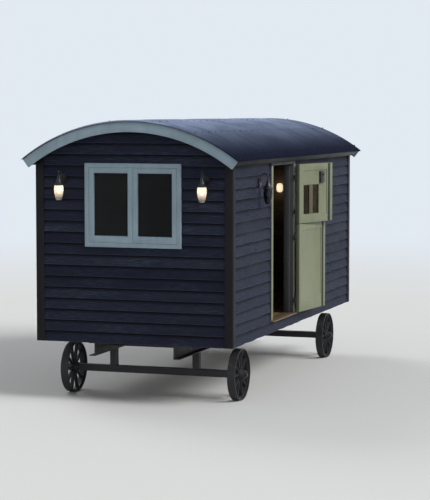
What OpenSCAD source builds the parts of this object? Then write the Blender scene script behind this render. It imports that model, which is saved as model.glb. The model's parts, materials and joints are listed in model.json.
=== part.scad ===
// Shepherd's hut on four iron wheels, with a barrel roof and a two-leaf stable door.
// Millimetres. Z is up, the origin is on the ground under the middle of the body.
// The window gable faces -Y and is called the front, the door is in the wall that faces +X,
// and the turntable and drawbar are at the back.

/* [Body] */
// Width over the cladding
body_w = 2300; // [2000:10:2600]
// Length over the cladding
body_l = 5080; // [4200:10:6000]
// Height of the floor above the ground
floor_h = 800; // [720:5:900]
// Thickness of the framed wall behind the cladding
wall_t = 90; // [70:1:120]
// Depth of the weatherboards, which stand outside the framed wall
clad_t = 22; // [14:1:30]
// Thickness of the floor boards
floor_t = 30; // [18:1:40]
// Height of the floor joists
joist_h = 100; // [70:1:120]
// Width of a floor joist
joist_w = 47; // [35:1:70]
// Number of floor joists across the hut
joist_n = 11; // [7:1:15]
// Width of each leg of a corner board
corner_w = 95; // [60:1:140]
// How far the corner boards stand past the weatherboards
corner_proud = 5; // [0:1:15]

/* [Roof] */
// Height of the roof boards' edge above the ground
eave_h = 2700; // [2640:5:2800]
// Rise of the roof from its edge to its crown
roof_rise = 417; // [300:1:600]
// How far the roof reaches past the side cladding
eave_out = 100; // [80:1:160]
// How far the bargeboard's face stands past the gable cladding
end_out = 140; // [80:1:240]
// Thickness of the roof boards with their lining
roof_t = 60; // [30:1:90]
// Depth of a bargeboard, measured along the roof's radius
barge_depth = 110; // [80:1:160]
// Thickness of a bargeboard
barge_t = 25; // [16:1:40]
// Height of the frieze board between the cladding and the roof
eave_board_h = 60; // [40:1:80]
// Thickness of the frieze board
eave_board_t = 22; // [14:1:30]
// Thickness of the fascia on the roof boards' ends
fascia_t = 18; // [12:1:25]
// Thickness of a corrugated roof sheet
sheet_t = 3; // [1:0.5:4]
// Depth of a corrugation from crest to valley
wave_h = 18; // [10:1:26]
// Pitch that the corrugations come nearest to
wave_pitch = 76; // [60:1:150]
// Number of roof sheets side by side
sheet_n = 7; // [3:1:9]
// How far the sheets reach past the bargeboards
sheet_end_out = 10; // [4:1:30]
// How far the sheets reach past the roof boards' edge
sheet_eave_out = 14; // [6:1:25]

/* [Window] */
// Width over the window frame
window_w = 1130; // [700:5:1300]
// Height over the window frame
window_h = 925; // [600:5:1000]
// Distance from the eave's level down to the window's top
window_drop = 36; // [10:1:150]
// Face width of the window frame
window_frame_w = 48; // [35:1:70]
// How far the window frame stands past the weatherboards
window_proud = 12; // [4:1:25]
// Face width of a casement's stiles and top rail
casement_w = 54; // [40:1:70]
// Face width of a casement's bottom rail
casement_foot_w = 70; // [50:1:100]
// Thickness of a casement
casement_t = 45; // [35:1:60]
// Gap round a casement
casement_gap = 2; // [1:0.5:4]
// Width of the rebate that a casement shuts against
casement_rebate = 12; // [8:1:20]
// Thickness of the window glass
glass_t = 6; // [4:1:12]

/* [Door] */
// Clear width between the door jambs
door_w = 854; // [700:1:950]
// Distance from the front cladding face to the latch jamb
door_from_front = 1491; // [900:1:1900]
// Height of the upper leaf
upper_leaf_h = 712; // [600:1:850]
// Thickness of a leaf
leaf_t = 44; // [35:1:55]
// Gap round each leaf and behind it
leaf_gap = 7; // [6:0.5:10]
// Face width of a door jamb
jamb_w = 65; // [45:1:90]
// Height of the door frame's head
head_h = 33; // [20:1:38]
// How far the door frame stands past the weatherboards
door_proud = 10; // [4:1:20]
// Width of the stop that the leaves shut against
stop_w = 15; // [8:1:25]
// Height of the threshold above the floor
threshold_h = 15; // [5:1:25]
// How far the threshold's nose stands past the weatherboards
threshold_out = 45; // [20:1:80]
// Width of the stile at a leaf's hinge edge, on its inner face
leaf_stile = 102; // [80:1:120]
// Width of the rail at a leaf's top
leaf_rail = 80; // [60:1:100]
// Width of the rail at the lower leaf's foot
leaf_foot_rail = 160; // [100:1:220]
// Depth of the sunk panel on the leaf's inner face
leaf_sink = 8; // [3:1:10]
// Width of the strip along a leaf's free edge
edge_strip = 60; // [40:1:80]
// Width of the seal's groove beside that strip
groove_w = 60; // [30:1:70]
// Depth of the seal's groove
groove_sink = 16; // [12:1:22]
// Width of the bead between that groove and the sunk panel
groove_bead = 24; // [12:1:40]
// Width of the glazed light
light_w = 396; // [300:1:430]
// Height of the glazed light
light_h = 361; // [200:1:380]
// Width left round the light on the sunk panel, at its side and its foot
light_margin = 12; // [6:1:20]
// Width of the case of the bolt over the light
bolt_w = 100; // [50:1:120]
// Height of the case of the bolt
bolt_h = 140; // [80:1:150]
// Thickness of the case of the bolt
bolt_t = 24; // [14:1:30]
// Height of the glazed light's foot above the upper leaf's foot
light_foot = 101; // [90:1:130]
// Thickness of the door glass
door_glass_t = 6; // [4:1:10]
// Angle through which the upper leaf stands open
upper_open = 167; // [150:0.5:175]
// Angle through which the lower leaf stands open
lower_open = 173.5; // [150:0.5:175]

/* [Hinges] */
// Radius of a hinge pin
pin_r = 6; // [4:0.5:8]
// Running clearance round a hinge pin
pin_gap = 0.05; // [0.02:0.01:0.1]
// Wall of the eye that turns on a pin
eye_wall = 5; // [3:0.5:8]
// Height of a hinge eye
eye_h = 40; // [25:1:60]
// Distance of the hinge axis from the door's face
hinge_out = 14; // [12:0.5:20]
// Length of a hinge strap
strap_l = 300; // [180:5:450]
// Thickness of straps and hinge plates
strap_t = 4; // [3:0.5:6]
// Height of a hinge plate on the jamb
plate_h = 90; // [70:1:120]
// Height of the collar under a hinge eye
collar_h = 14; // [8:1:20]
// Distance of a hinge from the nearer end of its leaf
hinge_inset = 130; // [100:1:200]

/* [Running gear] */
// Radius of a wheel
wheel_r = 290; // [240:1:320]
// Width of a wheel's tread
wheel_w = 90; // [60:1:120]
// Thickness of a wheel's rim
rim_t = 14; // [10:1:24]
// Depth of the web inside a wheel's rim
web_h = 16; // [10:1:24]
// Number of spokes in a wheel
spoke_n = 10; // [6:1:14]
// Thickness of a spoke's flat
spoke_t = 12; // [8:1:18]
// Height of a spoke's rib, across the wheel
spoke_rib = 40; // [24:1:50]
// Thickness of a spoke's rib
rib_t = 10; // [6:1:12]
// Radius of a wheel's hub
hub_r = 58; // [45:1:80]
// Radius of the hub's ends
hub_end_r = 46; // [42:1:58]
// Length of a wheel's hub
hub_l = 140; // [120:1:180]
// Radius of an axle's journal
journal_r = 25; // [18:1:35]
// Distance between the middles of the two wheels on an axle
track = 2000; // [1600:10:2120]
// Distance from the cladding face to each axle
axle_inset = 690; // [500:10:900]
// Side of a square axle bar
axle_bar = 76; // [60:1:100]
// Height of a chassis beam
beam_h = 150; // [100:5:180]
// Width of a chassis beam
beam_w = 75; // [50:1:100]
// Wall of a chassis beam
beam_wall = 8; // [5:1:12]
// Distance between the middles of the chassis beams
beam_span = 1000; // [700:10:1200]
// Number of cross members between the beams
cross_n = 5; // [3:1:8]
// Radius of the turntable's ring
ring_r = 330; // [250:5:400]
// Face width of the turntable's ring
ring_w = 60; // [40:1:90]
// Thickness of each turntable plate
ring_t = 12; // [8:1:20]

/* [Drawbar] */
// Length of the drawbar from the axle to the middle of its eye
drawbar_l = 1250; // [1050:10:1500]
// Width of the drawbar's bar
drawbar_w = 60; // [45:1:90]
// Radius of the hole in the towing eye
eye_bore_r = 25; // [18:0.5:30]
// Outer radius of the towing eye
eye_r = 55; // [45:1:70]
// Thickness of the towing eye
eye_t = 30; // [20:1:40]

/* [Lanterns] */
// Distance of the front lanterns from the hut's middle
lantern_x = 835; // [700:5:960]
// Distance of the side lantern from the front cladding face
lantern_y = 980; // [500:10:1300]
// Distance from the eave's level down to the front lanterns' wall plates
lantern_drop = 210; // [150:5:400]
// Distance from the eave's level down to the side lantern's wall plate
side_lantern_drop = 270; // [250:5:500]
// Radius of the round block behind a lantern
block_r = 55; // [48:1:70]
// How far that block stands past the weatherboards
block_proud = 6; // [0:1:15]
// Radius of a lantern's wall plate
plate_r = 44; // [34:1:46]
// Thickness of a lantern's wall plate
plate_t = 8; // [4:1:12]
// Reach of a lantern from the cladding to its middle
lantern_out = 100; // [85:1:150]
// Radius of the rod that carries a lantern
rod_r = 6; // [4:0.5:8]
// Height of that rod's top over the lantern's cap
rod_up = 82; // [80:1:120]
// Height of a lantern's cap over its wall plate's middle
cap_up = 28; // [0:1:40]
// Radius of a lantern's cap
cap_r = 62; // [57:1:75]
// Height of a lantern's cap
cap_h = 100; // [60:1:120]
// Height of a lantern's glass
jar_h = 167; // [120:1:200]
// Largest radius of a lantern's glass
jar_r = 52; // [40:1:55]
// Place of the lamp on the inner face of the back wall, from the hut's middle
room_lamp_x = 220; // [-700:10:700]
// Height of the room lamp above the floor
room_lamp_z = 1400; // [1200:10:1600]
// Radius of the room lamp's shade
room_lamp_r = 40; // [25:1:60]
// Height of the room lamp's shade
room_lamp_h = 120; // [70:1:200]

/* [Hidden] */

// Facets of the big roof arcs and of everything smaller that is round
ARC_FN = 360;
FN = 48;
// Length by which a cutting solid stands past what it cuts
CUT = 5;
// Clearance left where the roof boards meet the bargeboards and fascias
ROOF_FIT = 0.01;

// Faces of the framed wall, outside and inside
wall_x = body_w / 2 - clad_t;
wall_y = body_l / 2 - clad_t;
room_x = wall_x - wall_t;
room_y = wall_y - wall_t;

// Levels from the floor down to the chassis
joist_top = floor_h - floor_t;
joist_foot = joist_top - joist_h;
beam_foot = joist_foot - beam_h;

// The roof is a part of a cylinder whose axis runs along Y
roof_x = body_w / 2 + eave_out;
roof_r = (roof_x * roof_x + roof_rise * roof_rise) / (2 * roof_rise);
roof_z = eave_h + roof_rise - roof_r;
roof_a = asin(roof_x / roof_r);
ceiling_r = roof_r - roof_t;
boards_a = roof_a - asin(fascia_t / roof_r);
fascia_a = boards_a + asin(ROOF_FIT / ceiling_r);
barge_y = body_l / 2 + end_out;
boards_y = barge_y - barge_t - ROOF_FIT;
sheet_y = barge_y + sheet_end_out;
sheet_a = roof_a + asin(sheet_eave_out / roof_r);
wave_n = round(2 * sheet_y / wave_pitch);
wave_p = 2 * sheet_y / wave_n;
WAVE_STEPS = 8;

// Window, in the front wall
window_z = eave_h - window_drop - window_h;
window_y = -body_l / 2 - window_proud;
window_depth = window_proud + clad_t + wall_t;
sash_w = (window_w - 2 * window_frame_w) / 2;
sash_h = window_h - 2 * window_frame_w;

// Door, in the right wall, with its hinges on the jamb further from the front
door_x = body_w / 2 + door_proud;
door_y0 = door_from_front - body_l / 2;
door_y1 = door_y0 + door_w;
door_z0 = floor_h + threshold_h;
eave_z = eave_h - eave_board_h;
door_z1 = eave_z - head_h;
door_depth = door_proud + clad_t + wall_t;
stop_x = door_x - leaf_t - leaf_gap;
hinge_x = door_x + hinge_out;
hinge_y = door_y1;
leaf_w = door_w - 2 * leaf_gap;
upper_z1 = door_z1 - leaf_gap;
upper_z0 = upper_z1 - upper_leaf_h;
lower_z0 = door_z0 + leaf_gap;
lower_z1 = upper_z0 - leaf_gap;
// Low corner of the glazed light, and its side nearest the hinges
light_z0 = upper_z0 + light_foot;
light_y1 = door_y1 - leaf_gap - leaf_stile - light_margin;

// Running gear
axle_y = body_l / 2 - axle_inset;
wheel_x = track / 2;
journal_l = hub_l + 30;
bar_half = wheel_x - hub_l / 2;
ring_z = beam_foot - 40;
cross_h = beam_h - 40;

// A part of the roof's cylinder between two radii and two places along Y, from a start angle
module roof_arc(r0, r1, y0, y1, start, turn) {
    translate([0, 0, roof_z])
        rotate([90, 0, 0])
            rotate([0, 0, start])
                rotate_extrude(angle = turn, $fn = ARC_FN)
                    polygon([[r0, -y1], [r1, -y1], [r1, -y0], [r0, -y0]]);
}

// The same, as far to each side of the crown
module roof_band(r0, r1, y0, y1, half_a) {
    roof_arc(r0, r1, y0, y1, 90 - half_a, 2 * half_a);
}

// Everything under the roof boards
module under_roof() {
    translate([0, 0, roof_z])
        rotate([90, 0, 0])
            cylinder(r = ceiling_r, h = 2 * boards_y, center = true, $fn = ARC_FN);
}

// A box from its low corner to its high corner
module box(low, high) {
    translate(low)
        cube(high - low);
}

// Wheels

module wheel_spoke() {
    spoke_in = hub_r - 8;
    spoke_out = wheel_r - rim_t - web_h / 2;
    // Half the flat's width at the hub, where neighbours nearly meet, and at the rim
    foot = 0.9 * spoke_in * sin(180 / spoke_n);
    tip = 0.7 * foot;
    rotate([90, 0, 90]) {
        // Flat of the spoke, narrowing towards the rim
        translate([0, 0, -spoke_t / 2])
            linear_extrude(spoke_t)
                polygon([[-foot, spoke_in], [foot, spoke_in], [tip, spoke_out], [-tip, spoke_out]]);
        // Rib along the spoke's middle, on both sides of the flat
        translate([-rib_t / 2, spoke_in, -spoke_rib / 2])
            cube([rib_t, spoke_out - spoke_in, spoke_rib]);
    }
}

// Hub that narrows towards its ends
module wheel_hub() {
    half = hub_l / 2;
    full = spoke_rib / 2 + 4;
    rotate([0, 90, 0])
        rotate_extrude($fn = FN)
            polygon([[0, -half], [hub_end_r, -half], [hub_r, -full], [hub_r, full], [hub_end_r, half], [0, half]]);
}

// Ring round the X axis between two radii
module wheel_ring(r0, r1, w) {
    rotate([0, 90, 0])
        rotate_extrude($fn = 96)
            polygon([[r0, -w / 2], [r1, -w / 2], [r1, w / 2], [r0, w / 2]]);
}

// Wheel round the X axis, with its middle at the origin
module wheel() {
    color([0.09, 0.09, 0.10])
    difference() {
        union() {
            wheel_ring(wheel_r - rim_t, wheel_r, wheel_w);
            wheel_ring(wheel_r - rim_t - web_h, wheel_r - rim_t / 2, spoke_rib + 8);
            wheel_hub();
            for (i = [0 : spoke_n - 1])
                rotate([360 / spoke_n * (i + 0.5), 0, 0])
                    wheel_spoke();
        }
        rotate([0, 90, 0])
            cylinder(r = journal_r, h = hub_l + 2 * CUT, center = true, $fn = FN);
    }
}

module wheel_at(side, end) {
    translate([side * wheel_x, end * axle_y, wheel_r])
        wheel();
}

// Axles, turntable and drawbar

// Square bar with a round journal and a washer at each end
module axle_shaft(end) {
    translate([0, end * axle_y, wheel_r]) {
        cube([2 * bar_half, axle_bar, axle_bar], center = true);
        rotate([0, 90, 0])
            cylinder(r = journal_r, h = 2 * (bar_half + journal_l), center = true, $fn = FN);
        for (side = [-1, 1])
            translate([side * (bar_half + hub_l + 6), 0, 0])
                rotate([0, 90, 0])
                    cylinder(r = journal_r + 12, h = 12, center = true, $fn = FN);
    }
}

module front_axle() {
    color([0.10, 0.10, 0.11]) {
        axle_shaft(-1);
        // Pedestals up to the chassis beams
        for (side = [-1, 1])
            box([side * beam_span / 2 - beam_w / 2, -axle_y - axle_bar / 2, wheel_r],
                [side * beam_span / 2 + beam_w / 2, -axle_y + axle_bar / 2, beam_foot]);
    }
}

module back_axle() {
    color([0.10, 0.10, 0.11]) {
        axle_shaft(1);
        // Bolster under the turntable
        box([-ring_r, axle_y - axle_bar / 2, wheel_r],
            [ring_r, axle_y + axle_bar / 2, ring_z - 2 * ring_t]);
    }
}

module turntable() {
    color([0.12, 0.12, 0.13])
    translate([0, axle_y, 0]) {
        // Lower and upper plates
        translate([0, 0, ring_z - 2 * ring_t])
            difference() {
                cylinder(r = ring_r, h = 2 * ring_t, $fn = 96);
                translate([0, 0, -CUT])
                    cylinder(r = ring_r - ring_w, h = 2 * ring_t + 2 * CUT, $fn = 96);
            }
        // Crossbar that carries the kingpin, up to the beams
        box([-beam_span / 2 - beam_w / 2, -axle_bar / 2, ring_z],
            [beam_span / 2 + beam_w / 2, axle_bar / 2, beam_foot]);
        translate([0, 0, ring_z - 2 * ring_t])
            cylinder(r = journal_r, h = 2 * ring_t + CUT, $fn = FN);
    }
}

module drawbar() {
    y0 = axle_y + axle_bar / 2;
    y1 = axle_y + drawbar_l;
    color([0.10, 0.10, 0.11])
    difference() {
        union() {
            box([-drawbar_w / 2, y0, wheel_r - drawbar_w / 2],
                [drawbar_w / 2, y1 - eye_r * 0.8, wheel_r + drawbar_w / 2]);
            translate([0, y1, wheel_r])
                cylinder(r = eye_r, h = eye_t, center = true, $fn = FN);
        }
        translate([0, y1, wheel_r])
            cylinder(r = eye_bore_r, h = eye_t + 2 * CUT, center = true, $fn = FN);
    }
}

// Chassis and floor

module chassis_beams() {
    color([0.11, 0.11, 0.12])
    for (side = [-1, 1])
        translate([side * beam_span / 2, 0, beam_foot])
            difference() {
                box([-beam_w / 2, -wall_y, 0], [beam_w / 2, wall_y, beam_h]);
                // Channel that opens away from the middle
                box([side > 0 ? -beam_w / 2 + beam_wall : -beam_w / 2 - CUT, -wall_y - CUT, beam_wall],
                    [side > 0 ? beam_w / 2 + CUT : beam_w / 2 - beam_wall, wall_y + CUT, beam_h - beam_wall]);
            }
}

module cross_members() {
    reach = beam_span / 2 - beam_w / 2;
    color([0.11, 0.11, 0.12])
    for (i = [0 : cross_n - 1])
        translate([0, -axle_y + 2 * axle_y * i / (cross_n - 1), joist_foot - cross_h])
            box([-reach, -beam_w / 2, 0], [reach, beam_w / 2, cross_h]);
}

module side_joists() {
    color([0.45, 0.34, 0.22])
    for (side = [-1, 1])
        translate([side * (wall_x - joist_w / 2), 0, joist_foot])
            box([-joist_w / 2, -wall_y, 0], [joist_w / 2, wall_y, joist_h]);
}

module floor_joists() {
    reach = wall_x - joist_w;
    run = wall_y - joist_w / 2;
    color([0.45, 0.34, 0.22])
    for (i = [0 : joist_n - 1])
        translate([0, -run + 2 * run * i / (joist_n - 1), joist_foot])
            box([-reach, -joist_w / 2, 0], [reach, joist_w / 2, joist_h]);
}

module floor_boards() {
    color([0.55, 0.42, 0.28])
    box([-wall_x, -wall_y, joist_top], [wall_x, wall_y, floor_h]);
}

// Walls

module gable(y0, y1) {
    intersection() {
        box([-wall_x, y0, floor_h], [wall_x, y1, eave_h + roof_rise]);
        under_roof();
    }
}

module front_wall() {
    color([0.13, 0.14, 0.18])
    difference() {
        gable(-wall_y, -room_y);
        box([-window_w / 2, -wall_y - CUT, window_z], [window_w / 2, -room_y + CUT, window_z + window_h]);
    }
}

module back_wall() {
    color([0.13, 0.14, 0.18])
    gable(room_y, wall_y);
}

// A stretch of a side wall, under the roof
module side_wall(side, y0, y1, z0) {
    x0 = side > 0 ? room_x : -wall_x;
    intersection() {
        box([x0, y0, z0], [x0 + wall_t, y1, eave_h + roof_rise]);
        under_roof();
    }
}

module left_wall() {
    color([0.13, 0.14, 0.18])
    side_wall(-1, -room_y, room_y, floor_h);
}

module right_wall_near() {
    color([0.13, 0.14, 0.18])
    side_wall(1, -room_y, door_y0 - jamb_w, floor_h);
}

module right_wall_far() {
    color([0.13, 0.14, 0.18])
    side_wall(1, door_y1 + jamb_w, room_y, floor_h);
}

module right_wall_over_door() {
    color([0.13, 0.14, 0.18])
    side_wall(1, door_y0 - jamb_w, door_y1 + jamb_w, eave_z);
}

module corner_boards() {
    board_t = clad_t + corner_proud;
    color([0.10, 0.09, 0.09])
    for (sx = [-1, 1], sy = [-1, 1])
        intersection() {
            difference() {
                translate([sx * (wall_x + board_t - corner_w / 2), sy * (wall_y + board_t - corner_w / 2), 0])
                    box([-corner_w / 2, -corner_w / 2, joist_foot], [corner_w / 2, corner_w / 2, eave_h]);
                translate([sx * (wall_x - corner_w), sy * (wall_y - corner_w), 0])
                    box([-corner_w, -corner_w, 0], [corner_w, corner_w, eave_h + CUT]);
                eave_strip(sx);
            }
            under_roof();
        }
}

// Strip outside the framed side wall, from the door's head up past the roof's underside
module eave_strip(side) {
    strip_t = clad_t + eave_board_t;
    translate([side * (wall_x + strip_t / 2), 0, eave_z])
        box([-strip_t / 2, -boards_y, 0], [strip_t / 2, boards_y, eave_board_h]);
}

// Frieze boards on the walls and fascias on the roof boards' ends
module eave_boards() {
    color([0.30, 0.31, 0.31]) {
        for (side = [-1, 1])
            intersection() {
                eave_strip(side);
                under_roof();
            }
        for (start = [-fascia_a, roof_a])
            roof_arc(ceiling_r, roof_r, -boards_y, boards_y, 90 - start, roof_a - fascia_a);
    }
}

// Roof

module front_bargeboard() {
    color([0.52, 0.60, 0.62])
    roof_band(roof_r - barge_depth, roof_r, -barge_y, -barge_y + barge_t, roof_a);
}

module back_bargeboard() {
    color([0.52, 0.60, 0.62])
    roof_band(roof_r - barge_depth, roof_r, barge_y - barge_t, barge_y, roof_a);
}

module roof_boards() {
    color([0.50, 0.40, 0.28])
    roof_band(ceiling_r, roof_r, -boards_y, boards_y, boards_a);
}

// Radius of the sheets' under face at a number of steps along the roof
function wave_r(step) = roof_r + wave_h / 2 * (1 - cos(360 * step / WAVE_STEPS));

// Corrugated sheet between two wave numbers, lifted off the roof boards by a number of sheets
module roof_sheet(wave0, wave1, lift) {
    steps = [wave0 * WAVE_STEPS : wave1 * WAVE_STEPS];
    back = [for (i = [wave1 * WAVE_STEPS : -1 : wave0 * WAVE_STEPS]) i];
    r0 = lift * sheet_t;
    translate([0, 0, roof_z])
        rotate([90, 0, 0])
            rotate([0, 0, 90 - sheet_a])
                rotate_extrude(angle = 2 * sheet_a, $fn = ARC_FN)
                    polygon(concat(
                        [for (i = steps) [wave_r(i) + r0, i * wave_p / WAVE_STEPS - sheet_y]],
                        [for (i = back) [wave_r(i) + r0 + sheet_t, i * wave_p / WAVE_STEPS - sheet_y]]
                    ));
}

// First wave of a sheet
function sheet_start(i) = round(i * wave_n / sheet_n);

module roof_sheets_under() {
    color([0.16, 0.18, 0.26])
    for (i = [0 : 2 : sheet_n - 1])
        roof_sheet(sheet_start(i), sheet_start(i + 1), 0);
}

// Every other sheet laps one wave over its neighbours
module roof_sheets_over() {
    color([0.16, 0.18, 0.26])
    for (i = [1 : 2 : sheet_n - 1])
        roof_sheet(sheet_start(i) - 1, min(sheet_start(i + 1) + 1, wave_n), 1);
}

// Window

module window_frame() {
    inner_w = window_w / 2 - window_frame_w;
    inner_z0 = window_z + window_frame_w;
    inner_z1 = window_z + window_h - window_frame_w;
    rebate_y = window_y + casement_t;
    color([0.52, 0.60, 0.62])
    difference() {
        box([-window_w / 2, window_y, window_z], [window_w / 2, window_y + window_depth, window_z + window_h]);
        box([-inner_w, window_y - CUT, inner_z0], [inner_w, rebate_y, inner_z1]);
        box([-inner_w + casement_rebate, rebate_y - CUT, inner_z0 + casement_rebate],
            [inner_w - casement_rebate, window_y + window_depth + CUT, inner_z1 - casement_rebate]);
    }
}

// Low and high corner of a casement in the wall's plane, as [x, z] pairs
function casement_low(side) = [
    side < 0 ? -sash_w + casement_gap : casement_gap / 2,
    window_z + window_frame_w + casement_gap
];
function casement_high(side) = [
    side < 0 ? -casement_gap / 2 : sash_w - casement_gap,
    window_z + window_h - window_frame_w - casement_gap
];
function pane_low(side) = casement_low(side) + [casement_w, casement_foot_w];
function pane_high(side) = casement_high(side) - [casement_w, casement_w];

module casement(side) {
    low = casement_low(side);
    high = casement_high(side);
    pane0 = pane_low(side);
    pane1 = pane_high(side);
    color([0.52, 0.60, 0.62])
    difference() {
        box([low.x, window_y, low.y], [high.x, window_y + casement_t, high.y]);
        box([pane0.x, window_y - CUT, pane0.y], [pane1.x, window_y + casement_t + CUT, pane1.y]);
    }
}

module window_glass() {
    y0 = window_y + casement_t / 2 - glass_t / 2;
    color([0.10, 0.10, 0.10, 0.5])
    for (side = [-1, 1]) {
        low = pane_low(side);
        high = pane_high(side);
        box([low.x, y0, low.y], [high.x, y0 + glass_t, high.y]);
    }
}

// Door frame

module door_jambs() {
    color([0.60, 0.62, 0.54])
    for (side = [-1, 1]) {
        edge = side < 0 ? door_y0 : door_y1;
        outer = edge + side * jamb_w;
        stop = edge - side * stop_w;
        box([door_x - door_depth, min(edge, outer), door_z0], [door_x, max(edge, outer), door_z1]);
        box([door_x - door_depth, min(edge, stop), door_z0], [stop_x, max(edge, stop), door_z1]);
    }
}

module door_head() {
    color([0.60, 0.62, 0.54])
    box([door_x - door_depth, door_y0 - jamb_w, door_z1], [door_x, door_y1 + jamb_w, eave_z]);
}

module threshold() {
    color([0.36, 0.28, 0.20])
    box([room_x, door_y0 - jamb_w, floor_h], [body_w / 2 + threshold_out, door_y1 + jamb_w, door_z0]);
}

// Door leaves, drawn shut in their frame and then turned open about the hinge axis

module open_leaf(angle) {
    translate([hinge_x, hinge_y, 0])
        rotate([0, 0, angle])
            translate([-hinge_x, -hinge_y, 0])
                children();
}

// Shut leaf between two heights, with a sunk panel and a full-height groove on its inner face
module leaf(z0, z1, foot_rail) {
    y0 = door_y0 + leaf_gap;
    y1 = y0 + leaf_w;
    groove_y = y0 + edge_strip;
    panel_y = groove_y + groove_w + groove_bead;
    difference() {
        box([door_x - leaf_t, y0, z0], [door_x, y1, z1]);
        box([door_x - leaf_t - CUT, panel_y, z0 + foot_rail],
            [door_x - leaf_t + leaf_sink, y1 - leaf_stile, z1 - leaf_rail]);
        box([door_x - leaf_t - CUT, groove_y, z0 - CUT],
            [door_x - leaf_t + groove_sink, groove_y + groove_w, z1 + CUT]);
    }
}

module upper_leaf() {
    color([0.56, 0.58, 0.50])
    open_leaf(upper_open)
        difference() {
            leaf(upper_z0, upper_z1, light_foot - light_margin);
            box([door_x - leaf_t - CUT, light_y1 - light_w, light_z0],
                [door_x + CUT, light_y1, light_z0 + light_h]);
        }
}

module upper_leaf_glass() {
    x0 = door_x - leaf_t / 2 - door_glass_t / 2;
    color([0.10, 0.10, 0.10, 0.5])
    open_leaf(upper_open)
        box([x0, light_y1 - light_w, light_z0], [x0 + door_glass_t, light_y1, light_z0 + light_h]);
}

module upper_leaf_bolt() {
    x1 = door_x - leaf_t + leaf_sink;
    y0 = light_y1 - light_w - bolt_w;
    z0 = light_z0 + light_h + light_margin;
    color([0.12, 0.12, 0.12])
    open_leaf(upper_open)
        box([x1 - bolt_t, y0, z0], [x1, y0 + bolt_w, z0 + bolt_h]);
}

module lower_leaf() {
    color([0.56, 0.58, 0.50])
    open_leaf(lower_open)
        leaf(lower_z0, lower_z1, leaf_foot_rail);
}

// Heights of a leaf's two hinge eyes
function hinge_heights(z0, z1) = [z0 + hinge_inset, z1 - hinge_inset - eye_h];

// Strap across a shut leaf's outer face, with an eye round the hinge axis
module hinge_strap(z0) {
    eye_r_out = pin_r + pin_gap + eye_wall;
    difference() {
        union() {
            box([door_x, hinge_y - leaf_gap - strap_l, z0 + 4],
                [door_x + strap_t, hinge_y - leaf_gap, z0 + eye_h - 4]);
            box([door_x, hinge_y - leaf_gap - 12, z0], [hinge_x, hinge_y, z0 + eye_h]);
            translate([hinge_x, hinge_y, z0])
                cylinder(r = eye_r_out, h = eye_h, $fn = FN);
        }
        translate([hinge_x, hinge_y, z0 - CUT])
            cylinder(r = pin_r + pin_gap, h = eye_h + 2 * CUT, $fn = FN);
    }
}

module upper_leaf_hinges() {
    color([0.12, 0.12, 0.12])
    open_leaf(upper_open)
        for (z = hinge_heights(upper_z0, upper_z1))
            hinge_strap(z);
}

module lower_leaf_hinges() {
    color([0.12, 0.12, 0.12])
    open_leaf(lower_open)
        for (z = hinge_heights(lower_z0, lower_z1))
            hinge_strap(z);
}

// Plate on the jamb, with a collar and a pin that stands up through the eye
module hinge_pin(z0) {
    eye_r_out = pin_r + pin_gap + eye_wall;
    box([door_x, hinge_y + 12, z0 - collar_h - 10], [door_x + strap_t, hinge_y + jamb_w - 5, z0 - collar_h - 10 + plate_h]);
    box([door_x, hinge_y, z0 - collar_h - 0.5], [hinge_x, hinge_y + 20, z0 - 0.5]);
    translate([hinge_x, hinge_y, z0 - collar_h - 0.5])
        cylinder(r = eye_r_out, h = collar_h, $fn = FN);
    translate([hinge_x, hinge_y, z0 - collar_h - 0.5])
        cylinder(r = pin_r, h = collar_h + eye_h + 6, $fn = FN);
}

module hinge_pins() {
    color([0.12, 0.12, 0.12]) {
        for (z = hinge_heights(upper_z0, upper_z1))
            hinge_pin(z);
        for (z = hinge_heights(lower_z0, lower_z1))
            hinge_pin(z);
    }
}

// Lanterns, drawn with the framed wall's face in the XZ plane and the lamp out along -Y

// Rod that leaves the wall plate, rises, turns over and comes down on the cap
module lantern_rod() {
    near = clad_t + block_proud + plate_t + rod_r / 2;
    far = clad_t + lantern_out;
    turn_r = (far - near) / 2;
    turn_z = cap_up + rod_up - rod_r - turn_r;
    translate([0, -near, 0])
        cylinder(r = rod_r, h = turn_z, $fn = 16);
    translate([0, -far, cap_up - rod_r])
        cylinder(r = rod_r, h = turn_z - cap_up + rod_r, $fn = 16);
    translate([0, -(near + far) / 2, turn_z])
        rotate([90, 0, 90])
            rotate_extrude(angle = 180, $fn = FN)
                translate([turn_r, 0])
                    circle(r = rod_r, $fn = 16);
}

module lantern_body() {
    face = clad_t + block_proud;
    color([0.10, 0.10, 0.10]) {
        // Wooden block through the weatherboards, and the wall plate on it
        rotate([90, 0, 0])
            cylinder(r = block_r, h = face, $fn = FN);
        rotate([90, 0, 0])
            cylinder(r = plate_r, h = face + plate_t, $fn = FN);
        lantern_rod();
        // Bell-shaped cap
        translate([0, -clad_t - lantern_out, cap_up - cap_h])
            rotate_extrude($fn = FN)
                polygon([
                    [0, 0], [cap_r, 0], [cap_r, cap_h * 0.05], [cap_r * 0.58, cap_h * 0.36],
                    [cap_r * 0.34, cap_h * 0.7], [cap_r * 0.24, cap_h], [0, cap_h]
                ]);
    }
}

// Jar that hangs in the cap and narrows towards its foot
module lantern_glass() {
    translate([0, -clad_t - lantern_out, cap_up - cap_h - jar_h])
        rotate_extrude($fn = FN)
            polygon([
                [0, 0], [jar_r * 0.46, 0], [jar_r * 0.64, jar_h * 0.08], [jar_r * 0.84, jar_h * 0.34],
                [jar_r, jar_h * 0.66], [jar_r, jar_h * 0.84], [jar_r * 0.86, jar_h], [0, jar_h]
            ]);
}

module place_front_lantern(side) {
    translate([side * lantern_x, -wall_y, eave_h - lantern_drop])
        children();
}

module place_side_lantern() {
    translate([wall_x, lantern_y - body_l / 2, eave_h - side_lantern_drop])
        rotate([0, 0, 90])
            children();
}

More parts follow.
